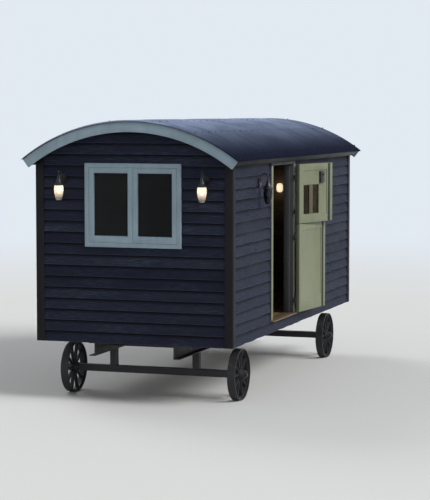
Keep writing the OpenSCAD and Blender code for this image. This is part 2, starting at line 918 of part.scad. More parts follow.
module lantern_glasses() {
    color([1.0, 0.9, 0.7, 0.6]) {
        place_front_lantern(-1)
            lantern_glass();
        place_front_lantern(1)
            lantern_glass();
        place_side_lantern()
            lantern_glass();
    }
}

module room_lamp() {
    color([1.0, 0.9, 0.75])
    translate([room_lamp_x, room_y, floor_h + room_lamp_z]) {
        rotate([90, 0, 0])
            cylinder(r = plate_r, h = 2 * plate_t, $fn = FN);
        translate([0, -room_lamp_r - plate_t, 0])
            cylinder(r = room_lamp_r, h = room_lamp_h, center = true, $fn = FN);
    }
}

wheel_at(-1, -1);  // wheel_front_left
wheel_at(1, -1);  // wheel_front_right
wheel_at(-1, 1);  // wheel_back_left
wheel_at(1, 1);  // wheel_back_right
front_axle();
back_axle();
turntable();
drawbar();
chassis_beams();
cross_members();
side_joists();
floor_joists();
floor_boards();
front_wall();
back_wall();
left_wall();
right_wall_near();
right_wall_far();
right_wall_over_door();
corner_boards();
eave_boards();
front_bargeboard();
back_bargeboard();
roof_boards();
roof_sheets_under();
roof_sheets_over();
window_frame();
casement(-1);  // left_casement
casement(1);  // right_casement
window_glass();
door_jambs();
door_head();
threshold();
upper_leaf();
upper_leaf_glass();
upper_leaf_bolt();
upper_leaf_hinges();
lower_leaf();
lower_leaf_hinges();
hinge_pins();
place_front_lantern(-1) lantern_body();  // lantern_front_left
place_front_lantern(1) lantern_body();  // lantern_front_right
place_side_lantern() lantern_body();  // lantern_side
lantern_glasses();
room_lamp();
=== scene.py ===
"""Shepherd's hut: the boards, trims, door, roof, lamps and running gear that dress its frame.

Metres. Z is up, the window gable faces -Y and the door is in the wall that faces +X.
"""
import json
import math
import random
from functools import partial

import bpy
from bpy.props import FloatProperty, FloatVectorProperty, IntProperty, PointerProperty
from mathutils import Matrix, Vector

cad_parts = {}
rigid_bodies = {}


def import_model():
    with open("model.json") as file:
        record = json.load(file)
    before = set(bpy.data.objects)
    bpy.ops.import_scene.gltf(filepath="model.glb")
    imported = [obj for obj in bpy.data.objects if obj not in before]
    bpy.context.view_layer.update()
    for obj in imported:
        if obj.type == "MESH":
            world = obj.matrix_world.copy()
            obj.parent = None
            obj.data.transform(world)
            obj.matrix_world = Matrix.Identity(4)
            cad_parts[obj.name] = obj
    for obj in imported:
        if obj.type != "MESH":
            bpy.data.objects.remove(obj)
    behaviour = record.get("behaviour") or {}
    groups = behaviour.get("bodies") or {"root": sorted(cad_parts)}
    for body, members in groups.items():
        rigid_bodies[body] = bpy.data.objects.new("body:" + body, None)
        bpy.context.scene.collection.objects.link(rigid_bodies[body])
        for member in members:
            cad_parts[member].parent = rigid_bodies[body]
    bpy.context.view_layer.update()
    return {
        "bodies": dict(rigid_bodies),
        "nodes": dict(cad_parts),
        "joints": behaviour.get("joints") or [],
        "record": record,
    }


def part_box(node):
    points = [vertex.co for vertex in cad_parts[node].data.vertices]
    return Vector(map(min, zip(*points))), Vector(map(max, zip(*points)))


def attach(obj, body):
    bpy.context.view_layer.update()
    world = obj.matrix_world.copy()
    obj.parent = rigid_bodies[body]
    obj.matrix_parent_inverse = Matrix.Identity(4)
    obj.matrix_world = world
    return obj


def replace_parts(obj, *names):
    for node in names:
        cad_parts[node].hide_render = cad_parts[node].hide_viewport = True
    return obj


bl_info = {
    "name": "Shepherd's hut",
    "version": (1, 0, 0),
    "blender": (4, 5, 0),
    "location": "3D View > Sidebar > Hut",
    "description": "Dresses the frame of a shepherd's hut with its boards, trims and finishes",
    "category": "Add Mesh",
}

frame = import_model()
NODES = frame["nodes"]


# Places read from the frame

def points_of(node):
    """The corners of a node's mesh."""
    return [v.co.copy() for v in NODES[node].data.vertices]


def corners(points):
    """(low corner, high corner) of the box round some points."""
    return (
        Vector([min(p[i] for p in points) for i in range(3)]),
        Vector([max(p[i] for p in points) for i in range(3)]),
    )


def arc_of(node):
    """(radius, height of the axis) of the arc that the node's top follows across the hut."""
    points = points_of(node)
    top = max(p.z for p in points)
    end = max(points, key=lambda p: (round(p.x, 4), p.z))
    rise = top - end.z
    radius = (end.x ** 2 + rise ** 2) / (2 * rise)
    return radius, top - radius


def body_of(node):
    """Name of the body that a node rides on."""
    return next(name for name, empty in frame["bodies"].items() if NODES[node].parent is empty)


# Faces of the framed walls, outside and inside
WALL_X = -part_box("left_wall")[0].x
ROOM_X = -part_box("left_wall")[1].x
WALL_Y = -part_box("front_wall")[0].y
ROOM_Y = -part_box("front_wall")[1].y
# Levels
FLOOR_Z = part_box("front_wall")[0].z
FOOT_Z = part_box("corner_boards")[0].z
EAVE_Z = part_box("door_head")[1].z
# Inner edges of the corner boards
CORNER_X = min(abs(p.x) for p in points_of("corner_boards"))
CORNER_Y = min(abs(p.y) for p in points_of("corner_boards"))
# Roof arc
ROOF_R, ROOF_Z = arc_of("front_bargeboard")
CEILING_R = min(math.hypot(p.x, p.z - ROOF_Z) for p in points_of("roof_boards"))
SHEET_R = max(math.hypot(p.x, p.z - ROOF_Z) for p in points_of("roof_sheets_over"))
SHEET_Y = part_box("roof_sheets_under")[1].y
# Outer sides of the door frame
DOOR_Y0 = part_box("door_jambs")[0].y
DOOR_Y1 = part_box("door_jambs")[1].y

# Gap round what a board is cut to fit
GAP = 0.001
# How far a cutter reaches past what it cuts, and past a gable where it follows the roof's arc
CUT_PAST = 0.1
ARC_CUT_PAST = 0.3
ARC_SIDES = 360
# How far a weatherboard's foot stands off the wall, in thicknesses of its upper edge
FOOT_OFF = 1.6
# Distance between the points at which a weatherboard's foot wanders, and scale of the wandering
WANE_STEP = 0.08
WANE_LENGTH = 0.22
# Rounding of the glass's beads and bars, of the hinge straps and of the lining boards
BEAD_ROUND = 0.002
STRAP_ROUND = 0.001
LINING_ROUND = 0.0022
# Gap left at the edge of a lining board
JOINT_GAP = 0.0006
# Distances under which two points of a mesh are one, and under which a point is on a face
WELD = 1e-5
ON_FACE = 1e-4


def srgb(red, green, blue):
    """A colour written as 0 to 255 in each channel, as the shaders want it."""
    linear = [((c / 255 + 0.055) / 1.055) ** 2.4 for c in (red, green, blue)]
    return (*linear, 1.0)


def length(name, description, default):
    """A length in the panel."""
    return FloatProperty(
        name=name, description=description, default=default, min=0.0, unit="LENGTH"
    )


def tint(name, description, default):
    """A colour in the panel."""
    return FloatVectorProperty(
        name=name, description=description, default=default, size=4, min=0.0, max=1.0,
        subtype="COLOR",
    )


class HutSizes(bpy.types.PropertyGroup):
    """Sizes of the pieces that dress the frame."""

    board_step: length("Board step", "Height that each weatherboard shows", 0.123)
    board_lap: length("Board lap", "Height by which a weatherboard laps the one below", 0.025)
    board_depth: length("Board depth", "Depth from the wall to a weatherboard's foot", 0.022)
    board_top: length("Board top", "Thickness of a weatherboard's upper edge", 0.007)
    gable_wane: length("Gable wane", "How far the feet of the gables' weatherboards wander", 0.002)
    side_wane: length("Side wane", "How far the feet of the sides' weatherboards wander", 0.009)
    edge_round: length("Edge round", "Rounding of painted edges", 0.003)
    bead_w: length("Bead width", "Width of the beads that hold the glass", 0.006)
    bar_w: length("Bar width", "Width of the bar in the door's light", 0.09)
    plank_w: length("Plank width", "Width of a floor plank", 0.13)
    lining_w: length("Lining width", "Width of a lining board", 0.1)
    lining_t: length("Lining thickness", "Thickness of a lining board", 0.007)
    leaf_board_w: length("Leaf board width", "Width of the boards on a leaf's outer face", 0.105)
    wave_pitch: length("Wave pitch", "Pitch that the roof's corrugations come nearest to", 0.076)
    screw_r: length("Screw radius", "Radius of a roof screw's washer", 0.011)
    edge_strip: length("Edge strip", "Width of the strip at a leaf's free edge", 0.06)
    groove_w: length("Groove width", "Width of the seal's groove in a leaf", 0.06)
    groove_sink: length("Groove depth", "Depth of the seal's groove in a leaf", 0.016)
    screw_rows: IntProperty(
        name="Screw rows", description="Rows of screws across the roof", default=6, min=2,
    )


class HutColours(bpy.types.PropertyGroup):
    """Colours of the finishes."""

    cladding: tint("Cladding", "Paint on the weatherboards", srgb(29, 33, 47))
    cladding_worn: tint("Worn cladding", "Faded paint on the weatherboards", srgb(64, 70, 86))
    corner: tint("Corner boards", "Paint on the corner boards", srgb(27, 26, 30))
    trim: tint("Trim", "Paint on the bargeboards and window", srgb(139, 157, 168))
    eave: tint("Eave boards", "Paint on the frieze boards and fascias", srgb(34, 36, 40))
    door: tint("Door", "Paint on the door and its frame", srgb(114, 118, 96))
    reveal: tint("Reveal", "Dark paint inside the door frame", srgb(66, 66, 68))
    roof: tint("Roof", "Coating on the roof sheets", srgb(9, 14, 34))
    # The roof's pale colour: a painted sky reflection on the upper sheets, with patches of chalking
    roof_sheen_and_chalk: tint("Roof sheen and chalk", "Chalky coating on the roof sheets", srgb(140, 155, 184))
    iron: tint("Iron", "Black paint on the running gear", srgb(38, 38, 40))
    fittings: tint("Fittings", "Black coating on hinges and lanterns", srgb(30, 30, 32))
    timber: tint("Timber", "Treated joists", srgb(120, 104, 80))
    floor: tint("Floor", "Oiled planks", srgb(112, 84, 58))
    lining: tint("Lining", "Boards that line the room", srgb(96, 84, 70))
    sill: tint("Threshold", "Oiled threshold", srgb(104, 84, 62))
    bar: tint("Light's bar", "Bar in the door's light", srgb(84, 73, 50))
    lamp: tint("Lamp", "Light of the lamps", srgb(255, 226, 192))
    ground: tint("Stage floor", "Floor that the hut stands on", srgb(206, 206, 204))


def sizes():
    """The sizes set in the panel."""
    return bpy.context.scene.hut_sizes


def chosen(colour):
    """The colour of that name set in the panel."""
    return tuple(getattr(bpy.context.scene.hut_colours, colour))


# Modelling

def alone(piece):
    """Leaves the piece as the only one selected, in object mode."""
    if bpy.context.object and bpy.context.object.mode != "OBJECT":
        bpy.ops.object.mode_set(mode="OBJECT")
    bpy.ops.object.select_all(action="DESELECT")
    piece.select_set(True)
    bpy.context.view_layer.objects.active = piece


def settle(piece):
    """Puts the piece's place into its mesh."""
    alone(piece)
    bpy.ops.object.transform_apply(location=True, rotation=True, scale=True)
    return piece


def new_piece(name):
    """The primitive that was just added, named and settled."""
    piece = bpy.context.object
    piece.name = name
    return settle(piece)


def block(name, low, high):
    """A box between two corners, to be shaped further."""
    middle = [(a + b) / 2 for a, b in zip(low, high)]
    span = [b - a for a, b in zip(low, high)]
    bpy.ops.object.select_all(action="DESELECT")
    bpy.ops.mesh.primitive_cube_add(size=1, location=middle, scale=span)
    return new_piece(name)


def rod(name, radius, start, end, sides=24):
    """A round bar between two points, to be shaped further."""
    start, end = Vector(start), Vector(end)
    along = end - start
    bpy.ops.object.select_all(action="DESELECT")
    bpy.ops.mesh.primitive_cylinder_add(
        vertices=sides, radius=radius, depth=along.length, location=(start + end) / 2,
        rotation=along.to_track_quat("Z", "Y").to_euler(),
    )
    return new_piece(name)


def lathe(name, profile, sides=32):
    """A turned shape round the Z axis, from its (radius, height) pairs from foot to top."""
    radius, height = profile[0]
    bpy.ops.object.select_all(action="DESELECT")
    bpy.ops.mesh.primitive_circle_add(
        vertices=sides, radius=radius, location=(0, 0, height), fill_type="NGON",
    )
    piece = new_piece(name)
    bpy.ops.object.mode_set(mode="EDIT")
    bpy.ops.mesh.select_all(action="SELECT")
    for wide, high in profile[1:]:
        bpy.ops.mesh.extrude_region_move(TRANSFORM_OT_translate={"value": (0, 0, high - height)})
        scale = wide / radius
        bpy.ops.transform.resize(value=(scale, scale, 1), center_override=(0, 0, high))
        radius, height = wide, high
    bpy.ops.mesh.select_all(action="SELECT")
    bpy.ops.mesh.normals_make_consistent(inside=False)
    bpy.ops.object.mode_set(mode="OBJECT")
    bpy.ops.object.shade_smooth_by_angle(angle=math.radians(50))
    return piece


def pick(piece, kind, test):
    """Opens the piece in edit mode with those of its parts selected that pass the test."""
    alone(piece)
    bpy.ops.object.mode_set(mode="EDIT")
    bpy.ops.mesh.select_mode(type=kind)
    bpy.ops.mesh.select_all(action="DESELECT")
    bpy.ops.object.mode_set(mode="OBJECT")
    mesh = piece.data
    for part in {"VERT": mesh.vertices, "EDGE": mesh.edges, "FACE": mesh.polygons}[kind]:
        part.select = test(part)
    bpy.ops.object.mode_set(mode="EDIT")


def done():
    """Leaves edit mode."""
    bpy.ops.object.mode_set(mode="OBJECT")


def edge_along(piece, axis):
    """Test for the edges that run along an axis."""
    points = piece.data.vertices

    def test(edge):
        a, b = (points[i].co for i in edge.vertices)
        run = b - a
        return abs(run[axis]) > 0.999 * run.length

    return test


def apply_modifier(piece, kind, **settings):
    """Gives the piece a modifier with these settings and applies it."""
    modifier = piece.modifiers.new(kind.title(), kind)
    for key, value in settings.items():
        setattr(modifier, key, value)
    alone(piece)
    bpy.ops.object.modifier_apply(modifier=modifier.name)


def round_edges(piece, width, segments=2, angle=35):
    """Rounds the sharp edges and shades the rest smooth."""
    apply_modifier(
        piece, "BEVEL", width=width, segments=segments, limit_method="ANGLE",
        angle_limit=math.radians(angle),
    )
    bpy.ops.object.shade_smooth_by_angle(angle=math.radians(angle))


def repeat(piece, count, step):
    """Repeats the piece along a step, in one mesh."""
    apply_modifier(
        piece, "ARRAY", count=count, use_relative_offset=False, use_constant_offset=True,
        constant_offset_displace=step,
    )


def carve(piece, cutter, operation="DIFFERENCE"):
    """Cuts the piece with another, which is then gone."""
    apply_modifier(piece, "BOOLEAN", object=cutter, operation=operation, solver="EXACT")
    bpy.data.objects.remove(cutter)


def joined(pieces, name):
    """One piece from several."""
    alone(pieces[0])
    for piece in pieces[1:]:
        piece.select_set(True)
    if len(pieces) > 1:
        bpy.ops.object.join()
    pieces[0].name = name
    return pieces[0]


def copies(pattern, places, name):
    """The pattern at each of the places, each with its own mesh, joined as one piece."""
    made = []
    for place in places:
        copy = pattern.copy()
        copy.data = pattern.data.copy()
        bpy.context.collection.objects.link(copy)
        copy.data.transform(place)
        made.append(copy)
    bpy.data.objects.remove(pattern)
    return joined(made, name)


def ring(name, low, high, border, axis):
    """A flat frame between two corners: a box inset on its broad faces and opened between them."""
    piece = block(name, low, high)
    pick(piece, "FACE", lambda face: abs(face.normal[axis]) > 0.9)
    bpy.ops.mesh.inset(thickness=border)
    bpy.ops.mesh.bridge_edge_loops()
    done()
    return piece


def at(place, angle, axis):
    """The move that turns a piece about an axis and then sets it at a place."""
    return Matrix.Translation(place) @ Matrix.Rotation(angle, 4, axis)


def set_tones(piece, count, seed):
    """Gives each of the equal parts of a piece its own tone, which the paint reads."""
    draw = random.Random(seed)
    tones = [draw.random() for _ in range(count)]
    share = len(piece.data.loops) // count
    attribute = piece.data.attributes.new("tone", "FLOAT", "CORNER")
    attribute.data.foreach_set("value", [tone for tone in tones for _ in range(share)])


def coat(piece, material):
    """Gives the piece one material all over."""
    piece.data.materials.clear()
    piece.data.materials.append(material)


def fit(piece, coating, body="hut"):
    """Gives the piece the finish of that name and lets it ride on its body."""
    coat(piece, finish(coating))
    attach(piece, body)
    return piece


def dress(node, name, edge, coating, shape=None):
    """A copy of a node with its flats merged and its edges rounded, which stands for the node.

    shape, if there is one, works on the copy before its edges are rounded.
    """
    piece = bpy.data.objects.new(name, NODES[node].data.copy())
    bpy.context.collection.objects.link(piece)
    pick(piece, "VERT", lambda vertex: True)
    bpy.ops.mesh.remove_doubles(threshold=WELD)
    bpy.ops.mesh.dissolve_limited(angle_limit=math.radians(0.2))
    done()
    if shape:
        shape(piece)
    round_edges(piece, edge)
    fit(piece, coating, body_of(node))
    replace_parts(piece, node)
    return piece


# Finishes

class Finish:
    """A material while it is being made: its nodes, its shader and its object coordinates."""

    def __init__(self, name, colour, roughness, **others):
        self.material = bpy.data.materials.new(name)
        self.material.use_nodes = True
        self.tree = self.material.node_tree
        self.shader = self.tree.nodes["Principled BSDF"]
        self.place = self.add("ShaderNodeTexCoord").outputs["Object"]
        for socket, value in {"Base Color": colour, "Roughness": roughness, **others}.items():
            self.shader.inputs[socket].default_value = value

    def add(self, kind, links=None, **settings):
        """A new node; links gives its sockets their values or what feeds them."""
        node = self.tree.nodes.new(kind)
        for key, value in settings.items():
            setattr(node, key, value)
        for socket, value in (links or {}).items():
            if isinstance(value, bpy.types.NodeSocket):
                self.tree.links.new(value, node.inputs[socket])
            else:
                node.inputs[socket].default_value = value
        return node

    def join(self, socket, value):
        """Lets an output drive a socket of the shader."""
        self.tree.links.new(value, self.shader.inputs[socket])

    def stretched(self, stretch):
        """Object coordinates, with each axis scaled."""
        links = {"Vector": self.place, "Scale": stretch}
        return self.add("ShaderNodeMapping", links).outputs["Vector"]

    def noise(self, scale, stretch=(1, 1, 1), detail=3.0, distortion=0.0):
        """Noise from 0 to 1, finer along an axis that is stretched more."""
        links = {"Vector": self.stretched(stretch), "Scale": scale, "Detail": detail}
        return self.add("ShaderNodeTexNoise", {**links, "Distortion": distortion}).outputs["Fac"]

    def attribute(self, name):
        """The value of one of the piece's own attributes."""
        return self.add("ShaderNodeAttribute", attribute_name=name).outputs["Fac"]

    def level(self, value, low, high, bottom=0.0, top=1.0):
        """The value's stretch from low to high, spread from bottom to top and clamped."""
        links = {"Value": value, "From Min": low, "From Max": high, "To Min": bottom, "To Max": top}
        return self.add("ShaderNodeMapRange", links).outputs["Result"]

    def sums(self, operation, first, second):
        """The outcome of one operation on two values."""
        links = {0: first, 1: second}
        return self.add("ShaderNodeMath", links, operation=operation).outputs["Value"]

    def blend(self, factor, first, second, mode="MIX"):
        """Two colours, mixed by a factor."""
        links = {0: factor, 6: first, 7: second}
        return self.add("ShaderNodeMix", links, data_type="RGBA", blend_type=mode).outputs[2]

    def bump(self, height, distance, under=None):
        """Lets a height raise the surface by up to a distance, over another bump if given."""
        links = {"Height": height, "Distance": distance, "Strength": 1.0}
        if under:
            links["Normal"] = under
        normal = self.add("ShaderNodeBump", links).outputs["Normal"]
        self.join("Normal", normal)
        return normal


def darker(colour, share):
    """The colour at a share of its light."""
    return (*[c * share for c in colour[:3]], 1.0)


def finish(name):
    """The material of that name, made when it is first asked for."""
    return bpy.data.materials.get(name) or FINISHES[name](name)


def weatherboard_paint(name):
    """Matt paint on sawn boards, faded and streaked along the grain, each board in its own tone,
    with painted shade under each board's lap.
    """
    fresh, faded = chosen("cladding"), chosen("cladding_worn")
    made = Finish(name, fresh, 0.62, **{"Specular IOR Level": 0.08})
    tone = made.attribute("tone")
    grain = made.noise(9, (1, 1, 26), 5.0)
    fade = made.noise(1.3, (1, 1, 4), 4.0, 0.4)
    worn = made.sums("MULTIPLY", made.level(grain, 0.42, 0.75), made.level(fade, 0.35, 0.7))
    body = made.blend(worn, fresh, faded)
    tones = made.level(tone, 0.0, 1.0, 0.76, 1.22)
    blues = made.level(tone, 0.0, 1.0, 0.82, 1.16)
    shades = made.add("ShaderNodeCombineColor", {0: tones, 1: tones, 2: blues})
    toned = made.blend(1.0, body, shades.outputs["Color"], "MULTIPLY")
    # A board is darkened under the one above as painted shade, and worn along its foot
    rise = made.attribute("rise")
    shaded_under_lap = made.blend(made.level(rise, 0.52, 0.77, 0.0, 0.9), toned, darker(fresh, 0.2))
    made.join("Base Color", made.blend(made.level(rise, 0.06, 0.0, 0.0, 0.5), shaded_under_lap, faded))
    made.join("Roughness", made.level(fade, 0.3, 0.7, 0.5, 0.72))
    saw = made.noise(60, (1, 1, 2.5), 2.0)
    made.bump(saw, 0.0006, made.bump(grain, 0.0018))
    return made.material


def brushed_paint(name, colour, roughness, wear):
    """Satin paint with brush marks, thin dirt and a little wear."""
    colour = chosen(colour)
    made = Finish(name, colour, roughness, **{"Specular IOR Level": 0.15})
    marks = made.noise(14, (1, 1, 0.25), 4.0)
    dirt = made.noise(2.2, (1, 1, 0.6), 5.0, 0.6)
    chips = made.noise(55)
    shade = made.blend(made.level(marks, 0.3, 0.7), darker(colour, 0.93), darker(colour, 1.05))
    soiled = made.blend(made.level(dirt, 0.52, 0.8, 0.0, 0.45), shade, darker(colour, 0.55))
    bare = made.level(chips, 0.7, 0.74, 0.0, wear)
    made.join("Base Color", made.blend(bare, soiled, darker(colour, 0.35)))
    made.join("Roughness", made.level(dirt, 0.3, 0.7, roughness - 0.07, roughness + 0.1))
    made.bump(marks, 0.0006)
    return made.material


def roof_coating(name):
    """Satin coating on corrugated steel: paler on the crests and towards the crown, as a painted
    sky reflection with patches of chalking; darker in the valleys; fine streaks.
    """
    fresh, sky_sheen_and_chalk = chosen("roof"), chosen("roof_sheen_and_chalk")
    made = Finish(name, fresh, 0.42, **{"Specular IOR Level": 0.04})
    parts = made.add("ShaderNodeSeparateXYZ", {0: made.place}).outputs
    rise = made.sums("SUBTRACT", parts["Z"], ROOF_Z)
    across = made.sums("MULTIPLY", parts["X"], parts["X"])
    square = made.sums("ADD", across, made.sums("MULTIPLY", rise, rise))
    crest = made.level(made.sums("POWER", square, 0.5), ROOF_R + 0.004, SHEET_R)
    chalk = made.noise(3.0, (1, 0.6, 1), 5.0, 0.5)
    streaks = made.noise(40, (0.08, 1, 0.08))
    # Painted sky reflection, with chalking: the sheets pale towards the crown, most on the crests
    # and in noisy patches
    crown = made.level(parts["Z"], EAVE_Z + 0.05, ROOF_Z + ROOF_R)
    patches = made.level(chalk, 0.3, 0.7, 0.55, 1.0)
    fade = made.sums("MULTIPLY", patches, made.sums("POWER", crown, 2.2))
    worn = made.sums("MULTIPLY", fade, made.level(crest, 0.2, 1.0, 0.6, 1.0))
    body = made.blend(worn, fresh, sky_sheen_and_chalk)
    # Darker in the valleys of the corrugations
    valley_darkened = made.blend(made.level(crest, 0.0, 0.35, 0.5, 0.0), body, darker(fresh, 0.45))
    streaky = made.level(streaks, 0.5, 0.75, 0.0, 0.35)
    made.join("Base Color", made.blend(streaky, valley_darkened, darker(fresh, 0.7)))
    made.join("Roughness", made.level(chalk, 0.3, 0.7, 0.33, 0.5))
    made.bump(streaks, 0.0004)
    return made.material


def black_paint(name, colour, roughness, rust):
    """Paint on iron or steel with a cast skin and a little rust."""
    colour = chosen(colour)
    made = Finish(name, colour, roughness, **{"Specular IOR Level": 0.35})
    skin = made.noise(70)
    patches = made.noise(6, detail=6.0, distortion=0.8)
    shade = made.blend(made.level(patches, 0.3, 0.7), darker(colour, 0.8), darker(colour, 1.35))
    rusty = made.level(patches, 0.66, 0.74, 0.0, rust)
    made.join("Base Color", made.blend(rusty, shade, srgb(92, 58, 38)))
    made.join("Roughness", made.level(patches, 0.3, 0.72, roughness - 0.08, roughness + 0.2))
    made.bump(skin, 0.0005)
    return made.material


def board_wood(name, colour, scale, roughness, along=1):
    """Wood whose grain runs along an axis, each board in its own tone."""
    colour = chosen(colour)
    made = Finish(name, colour, roughness)
    ring_stretch, pore_stretch = [6.0, 6.0, 6.0], [1.0, 1.0, 1.0]
    ring_stretch[along], pore_stretch[along] = 0.35, 0.06
    tone = made.level(made.attribute("tone"), 0.0, 1.0, 0.8, 1.2)
    rings = made.noise(scale, ring_stretch, 5.0, 1.2)
    pores = made.noise(160, pore_stretch, 2.0)
    shade = made.blend(made.level(rings, 0.3, 0.7), darker(colour, 0.62), darker(colour, 1.15))
    pored = made.blend(made.level(pores, 0.55, 0.75, 0.0, 0.5), shade, darker(colour, 0.5))
    tones = made.add("ShaderNodeCombineColor", {0: tone, 1: tone, 2: tone}).outputs["Color"]
    made.join("Base Color", made.blend(1.0, pored, tones, "MULTIPLY"))
    made.join("Roughness", made.level(rings, 0.3, 0.7, roughness - 0.08, roughness + 0.1))
    made.bump(pores, 0.0005)
    return made.material


def glazing(name, colour, ior):
    """Tinted glass with slight waves."""
    made = Finish(name, colour, 0.03, **{"Transmission Weight": 1.0, "IOR": ior})
    made.bump(made.noise(2.5, detail=1.0), 0.0008)
    return made.material


def lit_glass(name):
    """Seeded glass, clouded and lit from inside, brightest near the bulb."""
    sockets = {"Transmission Weight": 0.8, "Emission Color": chosen("lamp")}
    made = Finish(name, (0.6, 0.57, 0.52, 1.0), 0.2, **sockets)
    heights = made.add("ShaderNodeSeparateXYZ", {0: made.place}).outputs["Z"]
    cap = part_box("lantern_glasses")[1].z
    foot, bulb = cap - 0.14, cap - 0.05
    glow = made.level(heights, foot, bulb, 0.0, 0.5)
    seeds = made.noise(60, detail=2.0)
    seeded = made.level(seeds, 0.3, 0.7, 0.7, 1.15)
    made.join("Emission Strength", made.sums("MULTIPLY", glow, seeded))
    made.bump(seeds, 0.0008)
    return made.material


def shaded_glass(name):
    """The unlit lantern's glass, tinted dark as painted shade so that it shows dark against the
    boards.
    """
    sockets = {"Transmission Weight": 0.9, "IOR": 1.3}
    made = Finish(name, (0.1, 0.11, 0.14, 1.0), 0.12, **sockets)
    made.bump(made.noise(60, detail=2.0), 0.0008)
    return made.material


def bulb_glass(name, strength):
    """Frosted glass of a bulb."""
    made = Finish(name, (0.8, 0.78, 0.74, 1.0), 0.4, **{"Emission Color": chosen("lamp")})
    frost = made.noise(150, detail=1.0)
    made.join("Emission Strength", made.level(frost, 0.3, 0.7, 0.85 * strength, strength))
    return made.material


def opal_glass(name):
    """Glass of the room's lamp, faintly clouded and lit from inside."""
    made = Finish(name, (0.85, 0.78, 0.65, 1.0), 0.6, **{"Emission Color": chosen("lamp")})
    clouds = made.noise(220, detail=1.0)
    made.join("Emission Strength", made.level(clouds, 0.3, 0.7, 0.8, 1.0))
    return made.material


def seal_rubber(name):
    """Dull black rubber with fine specks."""
    made = Finish(name, srgb(22, 23, 24), 0.75)
    specks = made.noise(120, detail=2.0)
    shade = made.blend(made.level(specks, 0.4, 0.7), srgb(18, 19, 20), srgb(34, 35, 36))
    made.join("Base Color", shade)
    made.bump(specks, 0.0004)
    return made.material


FINISHES = {
    "Weatherboard paint": weatherboard_paint,
    "Trim paint": partial(brushed_paint, colour="trim", roughness=0.45, wear=0.5),
    "Corner paint": partial(brushed_paint, colour="corner", roughness=0.6, wear=0.6),
    "Eave paint": partial(brushed_paint, colour="eave", roughness=0.55, wear=0.6),
    "Door paint": partial(brushed_paint, colour="door", roughness=0.45, wear=0.4),
    "Reveal paint": partial(brushed_paint, colour="reveal", roughness=0.55, wear=0.4),
    "Roof coating": roof_coating,
    "Iron paint": partial(black_paint, colour="iron", roughness=0.5, rust=0.6),
    "Fitting coating": partial(black_paint, colour="fittings", roughness=0.3, rust=0.0),
    "Joist wood": partial(board_wood, colour="timber", scale=3.0, roughness=0.75),
    "Floor oak": partial(board_wood, colour="floor", scale=4.0, roughness=0.5),
    "Lining pine": partial(board_wood, colour="lining", scale=3.5, roughness=0.6),
    "Gable lining pine": partial(board_wood, colour="lining", scale=3.5, roughness=0.6, along=0),
    "Threshold oak": partial(board_wood, colour="sill", scale=5.0, roughness=0.5),
    "Bar wood": partial(board_wood, colour="bar", scale=5.0, roughness=0.5),
    "Window glass": partial(glazing, colour=(0.5, 0.57, 0.62, 1.0), ior=1.18),
    # The amber tint of the door's light is a painted reflection: the brown that the pane mirrors,
    # painted into the glass
    "Light glass": partial(glazing, colour=(0.56, 0.43, 0.15, 1.0), ior=1.09),
    "Lit glass": lit_glass,
    "Smoked glass": shaded_glass,
    "Lit bulb": partial(bulb_glass, strength=2.6),
    "Unlit bulb": partial(bulb_glass, strength=0.0),
    "Lamp shade": opal_glass,
    "Seal rubber": seal_rubber,
}

# Finish of each kind of node, from the record's slot for it
SLOT_FINISH = {
    "cladding_paint": "Weatherboard paint",
    "corner_paint": "Corner paint",
    "eave_wood": "Eave paint",
    "trim_paint": "Trim paint",
    "door_paint": "Door paint",
    "roof_paint": "Roof coating",
    "lining_wood": "Lining pine",
    "floor_wood": "Floor oak",
    "joist_wood": "Joist wood",
    "threshold_wood": "Threshold oak",
    "chassis_paint": "Iron paint",
    "wheel_iron": "Iron paint",
    "hinge_iron": "Fitting coating",
    "lantern_metal": "Fitting coating",
    "lantern_glass": "Lit glass",
    "window_glass": "Window glass",
    "lamp_shade": "Lamp shade",
}


# Weatherboards and trims

